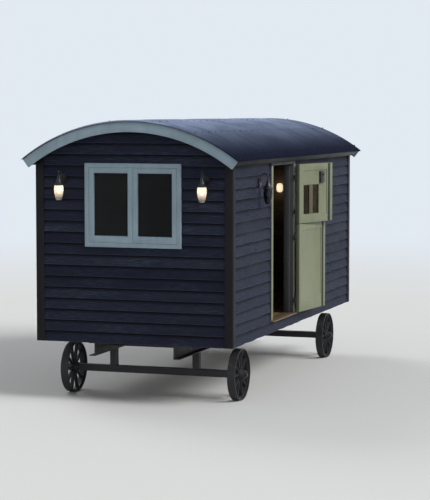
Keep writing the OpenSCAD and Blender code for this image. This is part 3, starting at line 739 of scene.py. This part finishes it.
def lay_boards(name, run, top, place, turn, wane, seed):
    """Lapped feather-edged boards along a wall, from the hut's foot up past a height."""
    s = sizes()
    tall = s.board_step + s.board_lap
    # A row reaches a lap higher than its step, so none starts there only to be cut to slivers
    rows = math.ceil((top - FOOT_Z - s.board_lap) / s.board_step)
    piece = block(name, (-run / 2, -s.board_depth, 0), (run / 2, 0, tall))
    # The upper edge is thin, and the foot stands off the wall to lap the board below
    pick(piece, "VERT", lambda v: v.co.z > s.board_lap and v.co.y < -s.board_top)
    bpy.ops.transform.translate(value=(0, s.board_depth - s.board_top, 0))
    done()
    pick(piece, "VERT", lambda v: v.co.z < s.board_lap and v.co.y > -s.board_top)
    bpy.ops.transform.translate(value=(0, -s.board_top * FOOT_OFF, 0))
    done()
    points = piece.data.vertices

    def outer_foot(edge):
        """Whether an edge is the lower one of the outer face."""
        ends = [points[i].co for i in edge.vertices]
        return all(p.z < ON_FACE and p.y < -0.9 * s.board_depth for p in ends)

    pick(piece, "EDGE", outer_foot)
    bpy.ops.mesh.bevel(offset=s.edge_round, segments=2, affect="EDGES")
    done()
    pick(piece, "EDGE", edge_along(piece, 0))
    bpy.ops.mesh.subdivide(number_cuts=max(3, round(run / WANE_STEP)))
    done()
    rise = piece.data.attributes.new("rise", "FLOAT", "CORNER")
    points = piece.data.vertices
    heights = [points[c.vertex_index].co.z for c in piece.data.loops]
    rise.data.foreach_set("value", [height / tall for height in heights])
    foot = piece.vertex_groups.new(name="foot")
    foot.add([v.index for v in points if v.co.z < s.board_lap / 2], 1.0, "REPLACE")
    repeat(piece, rows, (0, 0, s.board_step))
    set_tones(piece, rows, seed)
    piece.matrix_world = at((*place, FOOT_Z), math.radians(turn), "Z")
    settle(piece)
    clouds = bpy.data.textures.new(name, type="CLOUDS")
    clouds.noise_scale = WANE_LENGTH
    clouds.noise_depth = 2
    apply_modifier(
        piece, "DISPLACE", texture=clouds, texture_coords="LOCAL", direction="Z", mid_level=0.5,
        strength=2 * wane, vertex_group="foot",
    )
    bpy.data.textures.remove(clouds)
    return piece


def cut_level(piece, height):
    """Cuts off what stands over a height."""
    pick(piece, "VERT", lambda vertex: True)
    bpy.ops.mesh.bisect(
        plane_co=(0, 0, height), plane_no=(0, 0, 1), use_fill=True, clear_outer=True
    )
    done()


def under_arc(piece, radius, y):
    """Cuts off what a gable's boards, at about y, have outside a radius round the roof's axis."""
    reach = math.copysign(ARC_CUT_PAST, y)
    start, end = (0, y - reach, ROOF_Z), (0, y + reach, ROOF_Z)
    carve(piece, rod("cutter", radius - GAP, start, end, ARC_SIDES), "INTERSECT")


def cut_for_lantern(piece, node, axis, face):
    """Cuts the boards on a framed wall's face round the block that carries a lantern."""
    low, high = corners([p for p in points_of(node) if abs(abs(p[axis]) - face) < ON_FACE])
    middle, radius = (low + high) / 2, (high.z - low.z) / 2
    out = Vector((0, 0, 0))
    out[axis] = CUT_PAST
    carve(piece, rod("cutter", radius + GAP, middle - out, middle + out, 48))


class HUT_OT_weatherboards(bpy.types.Operator):
    """Clad the four walls with lapped weatherboards"""

    bl_idname = "hut.weatherboards"
    bl_label = "Weatherboards"

    def execute(self, context):
        s = sizes()
        gable, side = 2 * (CORNER_X - GAP), 2 * (CORNER_Y - GAP)
        crown, eave = ROOF_Z + CEILING_R, EAVE_Z - GAP
        front, back, left, right = pieces = [
            lay_boards("weatherboards_front", gable, crown, (0, -WALL_Y), 0, s.gable_wane, 3),
            lay_boards("weatherboards_back", gable, crown, (0, WALL_Y), 180, s.gable_wane, 5),
            lay_boards("weatherboards_left", side, eave, (-WALL_X, 0), -90, s.side_wane, 7),
            lay_boards("weatherboards_right", side, eave, (WALL_X, 0), 90, s.side_wane, 11),
        ]
        under_arc(front, CEILING_R, -WALL_Y)
        under_arc(back, CEILING_R, WALL_Y)
        cut_level(left, eave)
        cut_level(right, eave)
        low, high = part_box("window_frame")
        start = (low.x - GAP, low.y - CUT_PAST, low.z - GAP)
        carve(front, block("cutter", start, (high.x + GAP, high.y, high.z + GAP)))
        start = (ROOM_X, DOOR_Y0 - GAP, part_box("threshold")[0].z - GAP)
        end = (WALL_X + CUT_PAST, DOOR_Y1 + GAP, EAVE_Z + CUT_PAST)
        carve(right, block("cutter", start, end))
        for node in ("lantern_front_left", "lantern_front_right"):
            cut_for_lantern(front, node, 1, WALL_Y)
        cut_for_lantern(right, "lantern_side", 0, WALL_X)
        for piece in pieces:
            fit(piece, "Weatherboard paint")
        return {"FINISHED"}


class HUT_OT_trims(bpy.types.Operator):
    """Round the corner boards, eave boards and bargeboards"""

    bl_idname = "hut.trims"
    bl_label = "Corner boards, eave boards and bargeboards"

    def execute(self, context):
        edge = sizes().edge_round
        dress("corner_boards", "corner_boards_painted", edge, "Corner paint")
        dress("eave_boards", "eave_boards_painted", edge, "Eave paint")
        for node in ("front_bargeboard", "back_bargeboard"):
            dress(node, node + "_painted", edge, "Trim paint")
        return {"FINISHED"}


# Window and door

def beads(name, panes, axis):
    """Rounded beads round panes that face along an axis, from the corners of each set of beads."""
    width = sizes().bead_w
    made = []
    for low, high in panes:
        made.append(ring("bead", low, high, width, axis))
        round_edges(made[-1], BEAD_ROUND)
    return joined(made, name)


class HUT_OT_window(bpy.types.Operator):
    """Round the window's frame and casements and bead the glass"""

    bl_idname = "hut.window"
    bl_label = "Window"

    def execute(self, context):
        s = sizes()
        for node in ("window_frame", "left_casement", "right_casement"):
            dress(node, node + "_painted", s.edge_round, "Trim paint")
        low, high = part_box("window_glass")
        half_gap = min(abs(p.x) for p in points_of("window_glass"))
        panes = [
            ((x0, low.y - s.bead_w, low.z), (x1, low.y, high.z))
            for x0, x1 in ((low.x, -half_gap), (half_gap, high.x))
        ]
        fit(beads("window_beads", panes, 1), "Trim paint")
        return {"FINISHED"}


def swing(joint_name):
    """Turn that carries a leaf from shut to where it stands at rest."""
    joint = next(j for j in frame["joints"] if j["name"] == joint_name)
    place = Matrix.Translation(joint["pos_m"])
    angle = -math.radians(joint["range_deg"][0])
    return place @ Matrix.Rotation(angle, 4, "Z") @ place.inverted()


def shut_box(node, turn):
    """(low corner, high corner) of a leaf's node when the leaf is shut."""
    back = turn.inverted()
    return corners([back @ p for p in points_of(node)])


def turned(piece, turn):
    """The piece, with its mesh turned."""
    piece.data.transform(turn)
    return piece


def grooved(turn, low, high):
    """Shape of a leaf whose outer face is scored into boards."""
    half, past = 0.004, 0.02
    count = round((high.y - low.y) / sizes().leaf_board_w) - 1
    step = (high.y - low.y) / (count + 1)

    def shape(piece):
        cutter = block("cutter", (-half, -half, low.z - past), (half, half, high.z + past))
        cutter.matrix_world = at((high.x, low.y + step, 0), math.pi / 4, "Z")
        settle(cutter)
        repeat(cutter, count, (0, step, 0))
        carve(piece, turned(cutter, turn))

    return shape


def leaf_seal(name, low, high, turn, body):
    """Rubber seal in the groove of a leaf's inner face, clear of the groove's sides and ends."""
    s = sizes()
    clear, sunk = 0.004, 0.45 * s.groove_sink
    y0 = low.y + s.edge_strip
    start = (low.x + sunk, y0 + clear, low.z + clear)
    end = (low.x + s.groove_sink, y0 + s.groove_w - clear, high.z - clear)
    seal = block(name, start, end)
    round_edges(seal, s.edge_round)
    fit(turned(seal, turn), "Seal rubber", body)


def off_the_light(turn):
    """Shape of the upper leaf's straps, which stop short of its light."""
    low, high = shut_box("upper_leaf_glass", turn)
    edge = 0.012

    def shape(piece):
        start = (high.x, low.y - CUT_PAST, low.z - edge)
        end = (high.x + CUT_PAST, high.y + edge, high.z + edge)
        carve(piece, turned(block("cutter", start, end), turn))

    return shape


def strap_bolts(name, straps, turn, body):
    """Round-headed bolts along the two straps of a leaf's hinges."""
    strap_t, from_end, long_strap = 0.004, 0.022, 0.2
    points = [turn.inverted() @ v.co for v in straps.data.vertices]
    low, high = corners(points)
    middle = (low.z + high.z) / 2
    places = []
    for strap in ([p for p in points if p.z < middle], [p for p in points if p.z > middle]):
        start, end = corners(strap)
        span = end.y - start.y
        for i in range(3 if span > long_strap else 2):
            y = start.y + from_end + i * span / 3
            place = (low.x + strap_t, y, (start.z + end.z) / 2)
            places.append(turn @ at(place, math.pi / 2, "Y"))
    head = lathe("head", [(0.008, 0.0), (0.0075, 0.002), (0.005, 0.004), (0.002, 0.0048)], 16)
    fit(copies(head, places, name), "Fitting coating", body)


class HUT_OT_door(bpy.types.Operator):
    """Dress the door frame and both leaves of the stable door"""

    bl_idname = "hut.door"
    bl_label = "Stable door"

    def execute(self, context):
        edge = sizes().edge_round
        # The head takes the dark reveal paint as painted shade: it stands for the shadow that the
        # eave casts on it
        dress("door_head", "door_head_painted", edge, "Reveal paint")
        jambs = dress("door_jambs", "door_jambs_painted", edge, "Door paint")
        jambs.data.materials.append(finish("Reveal paint"))
        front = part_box("door_jambs")[1].x - edge
        for face in jambs.data.polygons:
            face.material_index = int(face.center.x < front)
        dress("threshold", "threshold_oiled", edge, "Threshold oak")
        for leaf in ("upper_leaf", "lower_leaf"):
            turn = swing(leaf + "_swing")
            low, high = shut_box(leaf, turn)
            scored = grooved(turn, low, high)
            dress(leaf, leaf + "_painted", edge, "Door paint", scored)
            leaf_seal(leaf + "_seal", low, high, turn, leaf)
            straps = dress(
                leaf + "_hinges", leaf + "_straps", STRAP_ROUND, "Fitting coating",
                off_the_light(turn) if leaf == "upper_leaf" else None,
            )
            strap_bolts(leaf + "_strap_bolts", straps, turn, leaf)
        self.light(swing("upper_leaf_swing"))
        self.lock_case(swing("upper_leaf_swing"))
        return {"FINISHED"}

    def light(self, turn):
        """Beads round the light on both faces, and the bar down its middle."""
        s = sizes()
        low, high = shut_box("upper_leaf_glass", turn)
        middle = (low.y + high.y) / 2
        faces = ((low.x - s.bead_w, low.x), (high.x, high.x + s.bead_w))
        panes = [((x0, low.y, low.z), (x1, high.y, high.z)) for x0, x1 in faces]
        light_beads = turned(beads("light_beads", panes, 0), turn)
        fit(light_beads, "Door paint", "upper_leaf")
        bars = []
        for x0, x1 in faces:
            start = (x0, middle - s.bar_w / 2, low.z + s.bead_w)
            bars.append(block("bar", start, (x1, middle + s.bar_w / 2, high.z - s.bead_w)))
            round_edges(bars[-1], BEAD_ROUND)
        light_bar = turned(joined(bars, "light_bar"), turn)
        fit(light_bar, "Bar wood", "upper_leaf")

    def lock_case(self, turn):
        """The bolt's case with its rounded edges, and its knob."""
        edge = sizes().edge_round
        dress("upper_leaf_bolt", "bolt_case", edge, "Fitting coating")
        low, high = shut_box("upper_leaf_bolt", turn)
        middle, raised = (low + high) / 2, 0.03
        outline = [(0.007, 0.0), (0.006, 0.008), (0.011, 0.013), (0.011, 0.018), (0.006, 0.021)]
        knob = lathe("bolt_knob", outline, 24)
        turned(knob, at((low.x, middle.y, middle.z + raised), -math.pi / 2, "Y"))
        fit(turned(knob, turn), "Fitting coating", "upper_leaf")


# Roof

class HUT_OT_roof(bpy.types.Operator):
    """Screw down the roof sheets"""

    bl_idname = "hut.roof"
    bl_label = "Roof sheets"

    def execute(self, context):
        s = sizes()
        waves = round(2 * SHEET_Y / s.wave_pitch)
        pitch = 2 * SHEET_Y / waves
        from_edge, sunk = 0.06, 0.001
        reach = math.asin((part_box("roof_boards")[1].x - from_edge) / ROOF_R)
        washer = [(s.screw_r, -0.002), (s.screw_r, 0.001)]
        head = lathe("head", washer + [(0.0062, 0.0014), (0.0062, 0.0065), (0.004, 0.0078)], 8)
        places = []
        for row in range(s.screw_rows):
            angle = -reach + 2 * reach * row / (s.screw_rows - 1)
            for wave in range(1, waves, 3):
                y = (wave + 0.5) * pitch - SHEET_Y
                crest = Matrix.Translation((0, 0, SHEET_R - sunk))
                places.append(at((0, y, ROOF_Z), angle, "Y") @ crest)
        fit(copies(head, places, "roof_screws"), "Roof coating")
        return {"FINISHED"}


# Inside

def panelling(name, low, high, axis, width, coating, seed):
    """Boards side by side along an axis, with rounded edges between them."""
    span = high[axis] - low[axis]
    count = max(1, round(span / width))
    step = span / count
    end = list(high)
    end[axis] = low[axis] + step - JOINT_GAP
    board = block(name, low, end)
    round_edges(board, LINING_ROUND, 1)
    offset = [0, 0, 0]
    offset[axis] = step
    repeat(board, count, offset)
    set_tones(board, count, seed)
    return fit(board, coating)


class HUT_OT_room(bpy.types.Operator):
    """Line the room and lay its floor and ceiling"""

    bl_idname = "hut.room"
    bl_label = "Lining, floor and ceiling"

    def execute(self, context):
        s = sizes()
        x, y, t = ROOM_X, ROOM_Y, s.lining_t
        top = FLOOR_Z + t
        panelling(
            "floor_planks", (-x, -y, FLOOR_Z), (x, y, top), 0, s.plank_w, "Floor oak",
            17,
        )
        edge_z = ROOF_Z + math.sqrt(CEILING_R ** 2 - x ** 2) - t
        crown = ROOF_Z + CEILING_R - t
        side, gable = "Lining pine", "Gable lining pine"
        *_, back, front = [
            panelling(name, low, high, 2, s.lining_w, pine, seed)
            for name, low, high, pine, seed in (
                ("lining_left", (-x, -y, top), (-x + t, y, edge_z), side, 19),
                ("lining_right_near", (x - t, -y, top), (x, DOOR_Y0, edge_z), side, 23),
                ("lining_right_far", (x - t, DOOR_Y1, top), (x, y, edge_z), side, 29),
                ("lining_back", (-x + t, y - t, top), (x - t, y, crown), gable, 31),
                ("lining_front", (-x + t, -y, top), (x - t, -y + t, crown), gable, 37),
            )
        ]
        low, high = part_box("window_frame")
        carve(front, block("cutter", low, (high.x, high.y + CUT_PAST, high.z)))
        under_arc(back, CEILING_R - t, y)
        under_arc(front, CEILING_R - t, -y)
        self.ceiling(t)
        return {"FINISHED"}

    def ceiling(self, t):
        """Boards along the hut, laid side by side round the roof's arc."""
        reach = math.asin((ROOM_X - t) / CEILING_R)
        count = round(2 * reach * CEILING_R / sizes().lining_w)
        turn = 2 * reach / count
        half = CEILING_R * turn / 2 - JOINT_GAP
        radius = CEILING_R * math.cos(turn / 2)
        back = 0.0005
        board = block("board", (-half, -ROOM_Y + t, radius - t), (half, ROOM_Y - t, radius - back))
        round_edges(board, LINING_ROUND, 1)
        angles = [-reach + turn * (i + 0.5) for i in range(count)]
        places = [at((0, 0, ROOF_Z), angle, "Y") for angle in angles]
        piece = copies(board, places, "ceiling_boards")
        set_tones(piece, count, 41)
        fit(piece, "Lining pine")


# Lamps

class HUT_OT_lamps(bpy.types.Operator):
    """Turn the glass and the bulbs of the three lanterns and the room's lamp"""

    bl_idname = "hut.lamps"
    bl_label = "Lamps"

    def execute(self, context):
        glass = points_of("lantern_glasses")
        lit, bulbs = [], []
        for node in ("lantern_front_left", "lantern_front_right", "lantern_side"):
            low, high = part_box(node)
            middle, near = (low + high) / 2, 0.2
            own = [p for p in glass if (p.xy - middle.xy).length < near]
            jar, bulb = self.jar(*corners(own))
            if node == "lantern_side":
                jar.name, bulb.name = "lantern_glass_side", "bulb_side"
                # The side lantern's glass is tinted dark as painted shade
                fit(jar, "Smoked glass")
                fit(bulb, "Unlit bulb")
            else:
                lit.append(jar)
                bulbs.append(bulb)
        fit(joined(bulbs, "bulbs_front"), "Lit bulb")
        jars = fit(joined(lit, "lantern_glass_front"), "Lit glass")
        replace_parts(jars, "lantern_glasses")
        self.room_lamp()
        return {"FINISHED"}

    def room_lamp(self):
        """An oval glass before a round plate on the back wall."""
        low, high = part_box("room_lamp")
        middle = (low + high) / 2
        wide, tall = (high.x - low.x) / 2, high.z - low.z
        # Share of the half width at each share of the height
        half = [(0.35, 0.0), (0.68, 0.05), (0.88, 0.16), (0.97, 0.3), (1.0, 0.42)]
        outline = half + [(r, 1 - z) for r, z in reversed(half)]
        glass = lathe("room_lamp_glass", [(wide * r, tall * z) for r, z in outline], 40)
        turned(glass, Matrix.Translation((middle.x, low.y + wide, low.z)))
        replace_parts(fit(glass, "Lamp shade"), "room_lamp")
        plate_r, plate_y = 0.8 * wide, low.y + 1.7 * wide
        start, end = (middle.x, plate_y, middle.z), (middle.x, ROOM_Y, middle.z)
        plate = rod("room_lamp_plate", plate_r, start, end, 32)
        round_edges(plate, sizes().edge_round)
        fit(plate, "Fitting coating")

    def jar(self, low, high):
        """A hollow jar between two corners, and the bulb that hangs in it."""
        middle = (low + high) / 2
        tall, wide = high.z - low.z, (high.x - low.x) / 2
        wall, drop = 0.003, 0.09
        # Share of the half width at each share of the height
        outside = [
            (0.25, 0.0), (0.46, 0.012), (0.56, 0.04), (0.66, 0.11), (0.76, 0.22), (0.86, 0.36),
            (0.94, 0.5), (0.99, 0.64), (1.0, 0.76), (0.99, 0.86), (0.94, 0.94), (0.86, 1.0),
        ]
        outline = [(wide * r, tall * z) for r, z in outside]
        inside = [(r - wall, max(z, wall)) for r, z in reversed(outline[1:])]
        jar = lathe("jar", outline + inside, 40)
        turned(jar, Matrix.Translation((middle.x, middle.y, low.z)))
        bulb = lathe("bulb", [
            (0.006, 0.0), (0.016, 0.006), (0.023, 0.018), (0.024, 0.032), (0.018, 0.05),
            (0.012, 0.075),
        ])
        turned(bulb, Matrix.Translation((middle.x, middle.y, high.z - drop)))
        return jar, bulb


# Running gear

class HUT_OT_running_gear(bpy.types.Operator):
    """Bolt the running gear together"""

    bl_idname = "hut.running_gear"
    bl_label = "Running gear"

    def execute(self, context):
        washer = [(0.018, -0.001), (0.018, 0.003)]
        head = lathe("head", washer + [(0.0125, 0.0031), (0.0125, 0.012), (0.01, 0.0135)], 6)
        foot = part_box("chassis_beams")[0].z
        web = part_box("cross_members")[1].x
        web_t, from_edge, levels = 0.008, 0.02, (0.06, 0.11)
        places = []
        for y in sorted({round(p.y, 3) for p in points_of("cross_members")}):
            inward = from_edge if y < 0 else -from_edge
            for side in (-1, 1):
                for level in levels:
                    place = (side * web + side * web_t, y + inward, foot + level)
                    places.append(at(place, side * math.pi / 2, "Y"))
        fit(copies(head, places, "chassis_bolts"), "Iron paint")
        return {"FINISHED"}


class HUT_OT_finishes(bpy.types.Operator):
    """Give every piece of the frame that still shows its finish"""

    bl_idname = "hut.finishes"
    bl_label = "Finishes"

    def execute(self, context):
        for part in frame["record"]["subparts"]:
            coat(NODES[part["node"]], finish(SLOT_FINISH[part["material_slot"]]))
        coat(NODES["upper_leaf_glass"], finish("Light glass"))
        return {"FINISHED"}


# Stage

CAMERA_PLACE = Vector((7.04, -20.68, 3.235))
CAMERA_AIM = Vector((-0.02, 0.35, 1.5))
CAMERA_LENS = 128
BACKDROP = (0.76, 0.82, 0.89, 1.0)
SKY_LIGHT = (0.92, 0.96, 1.0, 1.0)
# Distances from the hut between which the floor fades into the backdrop
FADE_START, FADE_END = 7.0, 26.0


def looking(tree):
    """Output that is 1 for rays on which the camera, a reflection or glass looks, and else 0."""
    rays = tree.nodes.new("ShaderNodeLightPath").outputs
    seen = rays["Is Camera Ray"]
    for kind in ("Is Glossy Ray", "Is Transmission Ray"):
        either = tree.nodes.new("ShaderNodeMath")
        either.operation = "MAXIMUM"
        tree.links.new(seen, either.inputs[0])
        tree.links.new(rays[kind], either.inputs[1])
        seen = either.outputs["Value"]
    return seen


def sky():
    """A plain sky: gentle light on the hut, and a pale backdrop where the camera looks."""
    world = bpy.data.worlds.new("Sky")
    world.use_nodes = True
    nodes, links = world.node_tree.nodes, world.node_tree.links
    plain = nodes["Background"]
    plain.inputs["Color"].default_value = SKY_LIGHT
    plain.inputs["Strength"].default_value = 0.42
    seen = nodes.new("ShaderNodeBackground")
    seen.inputs["Color"].default_value = BACKDROP
    seen.inputs["Strength"].default_value = 1.0
    mix = nodes.new("ShaderNodeMixShader")
    links.new(looking(world.node_tree), mix.inputs["Fac"])
    links.new(plain.outputs[0], mix.inputs[1])
    links.new(seen.outputs[0], mix.inputs[2])
    links.new(mix.outputs[0], nodes["World Output"].inputs["Surface"])
    bpy.context.scene.world = world


def soft_sun(name, direction, strength):
    """A broad even light that comes from a direction."""
    bpy.ops.object.light_add(type="SUN", location=Vector(direction) * 20)
    light = bpy.context.object
    light.name = name
    light.data.angle = math.radians(28)
    light.data.energy = strength
    light.rotation_euler = Vector(direction).to_track_quat("Z", "Y").to_euler()


def room_light():
    """The warm light of the room's lamp."""
    low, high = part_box("room_lamp")
    middle, before = (low + high) / 2, 0.12
    bpy.ops.object.light_add(type="POINT", location=(middle.x, low.y - before, middle.z))
    light = bpy.context.object
    light.name = "room_light"
    light.data.energy = 0.35
    light.data.color = chosen("lamp")[:3]
    light.data.shadow_soft_size = 0.06
    light.visible_camera = light.visible_glossy = light.visible_transmission = False


def floor_material():
    """A matt floor that fades into the pale backdrop away from the hut."""
    made = Finish("Stage floor", chosen("ground"), 0.9, **{"Specular IOR Level": 0.1})
    nodes, links = made.tree.nodes, made.tree.links
    pale = made.add("ShaderNodeEmission", {"Color": BACKDROP, "Strength": 1.0})
    reach = made.add("ShaderNodeVectorMath", {0: made.place}, operation="LENGTH").outputs["Value"]
    fade = {0: reach, 1: FADE_START, 2: FADE_END}
    far = made.add("ShaderNodeMapRange", fade, interpolation_type="SMOOTHSTEP").outputs["Result"]
    mix = made.add("ShaderNodeMixShader", {0: made.sums("MULTIPLY", far, looking(made.tree))})
    links.new(made.shader.outputs[0], mix.inputs[1])
    links.new(pale.outputs[0], mix.inputs[2])
    links.new(mix.outputs[0], nodes["Material Output"].inputs["Surface"])
    return made.material


class HUT_OT_stage(bpy.types.Operator):
    """Set the pale floor, the lights and the camera"""

    bl_idname = "hut.stage"
    bl_label = "Stage"

    def execute(self, context):
        bpy.ops.object.select_all(action="DESELECT")
        bpy.ops.mesh.primitive_plane_add(size=160)
        floor = bpy.context.object
        floor.name = "stage_floor"
        coat(floor, floor_material())
        soft_sun("key", (0.8, -0.1, 0.6), 3.0)
        soft_sun("fill", (-0.66, 0.42, 0.62), 0.9)
        room_light()
        sky()
        bpy.ops.object.camera_add(location=CAMERA_PLACE)
        camera = bpy.context.object
        camera.rotation_euler = (CAMERA_AIM - CAMERA_PLACE).to_track_quat("-Z", "Y").to_euler()
        camera.data.lens = CAMERA_LENS
        camera.data.clip_end = 300
        context.scene.camera = camera
        context.scene.view_settings.view_transform = "Standard"
        return {"FINISHED"}


STEPS = (
    HUT_OT_weatherboards,
    HUT_OT_trims,
    HUT_OT_window,
    HUT_OT_door,
    HUT_OT_roof,
    HUT_OT_room,
    HUT_OT_lamps,
    HUT_OT_running_gear,
    HUT_OT_finishes,
    HUT_OT_stage,
)


class HUT_PT_panel(bpy.types.Panel):
    """Lists the steps that dress the hut"""

    bl_label = "Shepherd's hut"
    bl_idname = "HUT_PT_panel"
    bl_space_type = "VIEW_3D"
    bl_region_type = "UI"
    bl_category = "Hut"

    def draw(self, context):
        for step in STEPS:
            self.layout.operator(step.bl_idname)
        for group in (context.scene.hut_sizes, context.scene.hut_colours):
            box = self.layout.box()
            for name in group.bl_rna.properties.keys():
                if name not in ("rna_type", "name"):
                    box.prop(group, name)


CLASSES = (HutSizes, HutColours, *STEPS, HUT_PT_panel)


def register():
    for item in CLASSES:
        bpy.utils.register_class(item)
    bpy.types.Scene.hut_sizes = PointerProperty(type=HutSizes)
    bpy.types.Scene.hut_colours = PointerProperty(type=HutColours)


def unregister():
    del bpy.types.Scene.hut_colours
    del bpy.types.Scene.hut_sizes
    for item in reversed(CLASSES):
        bpy.utils.unregister_class(item)


def main():
    register()
    for step in STEPS:
        group, name = step.bl_idname.split(".")
        getattr(getattr(bpy.ops, group), name)()


if __name__ == "__main__":
    main()
